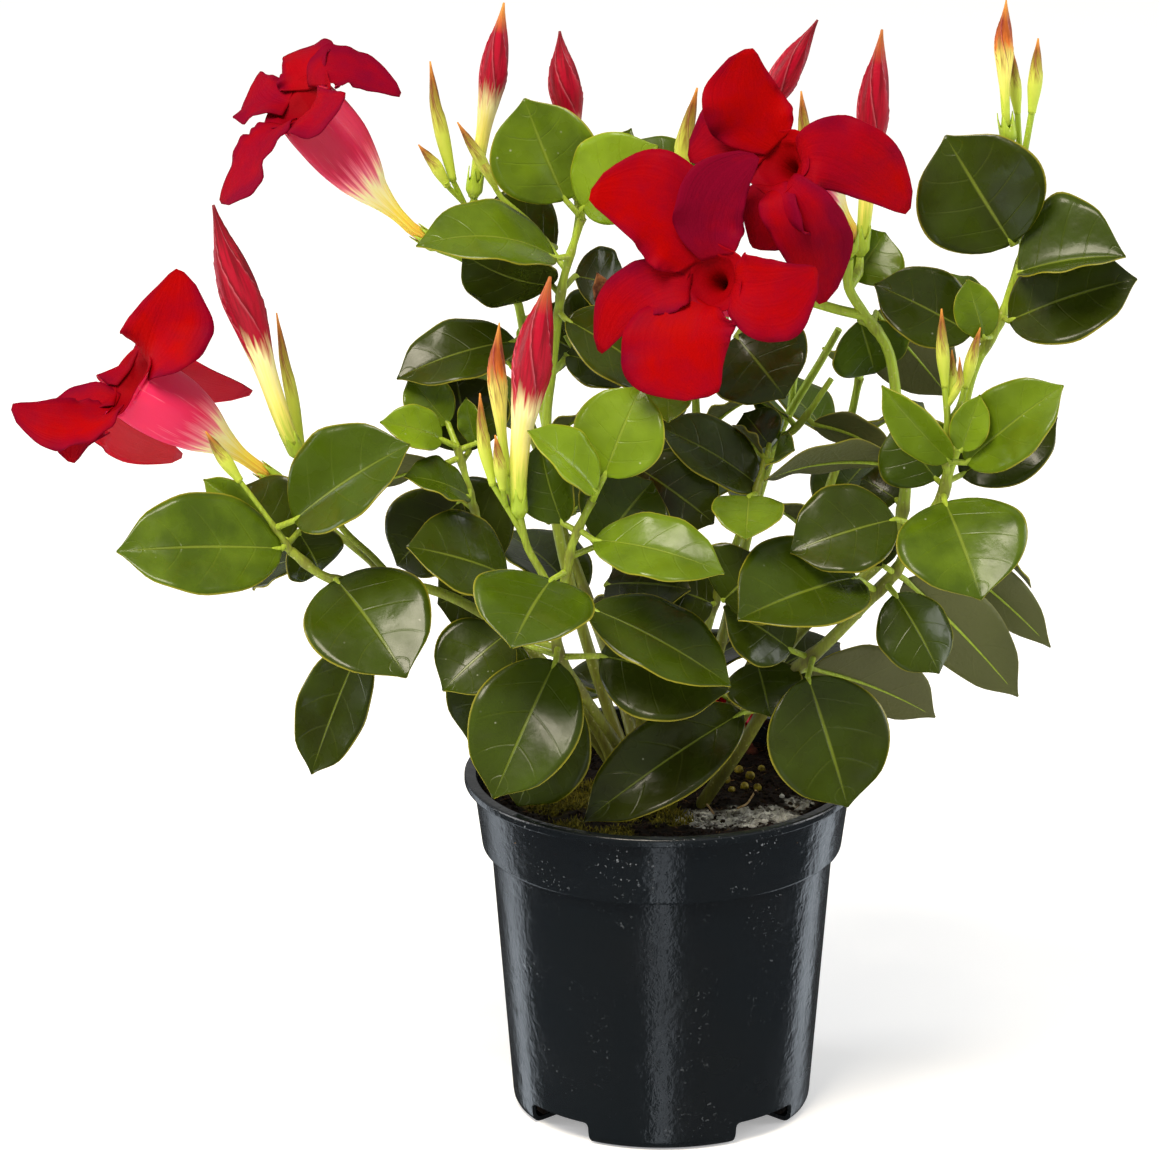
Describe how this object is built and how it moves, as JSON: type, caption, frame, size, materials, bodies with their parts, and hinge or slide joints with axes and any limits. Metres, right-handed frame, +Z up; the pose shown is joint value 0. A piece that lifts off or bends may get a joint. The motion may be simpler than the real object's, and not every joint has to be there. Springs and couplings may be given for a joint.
{
  "type": "potted mandevilla",
  "caption": "Climbing plant with leafy shoots, trumpet blooms and twisted pointed buds, growing in soil in a round nursery pot with drain slots in its foot.",
  "frame": {"origin": "centre of the pot's flat underside", "axes": "+Z up along the pot's axis, +X to the right and -Y toward the camera of the picture"},
  "size_m": [0.3615, 0.1944, 0.3827],
  "materials": {
    "pot_plastic": "satin",
    "peat": "matte",
    "leaf_and_stem": "satin",
    "petal": "matte",
    "bud_skin": "matte"
  },
  "bodies": {
    "root": {"pot": "pot_plastic", "soil": "peat", "left_shoot": "leaf_and_stem", "left_inner_shoot": "leaf_and_stem", "upper_left_shoot": "leaf_and_stem", "front_shoot": "leaf_and_stem", "centre_shoot": "leaf_and_stem", "middle_shoot": "leaf_and_stem", "right_shoot": "leaf_and_stem", "right_inner_shoot": "leaf_and_stem", "centre_back_shoot": "leaf_and_stem", "back_left_shoot": "leaf_and_stem", "back_middle_shoot": "leaf_and_stem", "back_right_shoot": "leaf_and_stem", "bloom_centre": "petal", "bloom_right": "petal", "bloom_left": "petal", "bloom_top_left": "petal", "fallen_petal": "petal", "bud_left": "bud_skin", "bud_top_left": "bud_skin", "bud_top_centre": "bud_skin", "bud_top_slanted": "bud_skin", "bud_top_right": "bud_skin", "bud_right_young": "bud_skin", "bud_front_young": "bud_skin", "bud_front": "bud_skin"}
  },
  "joints": []
}
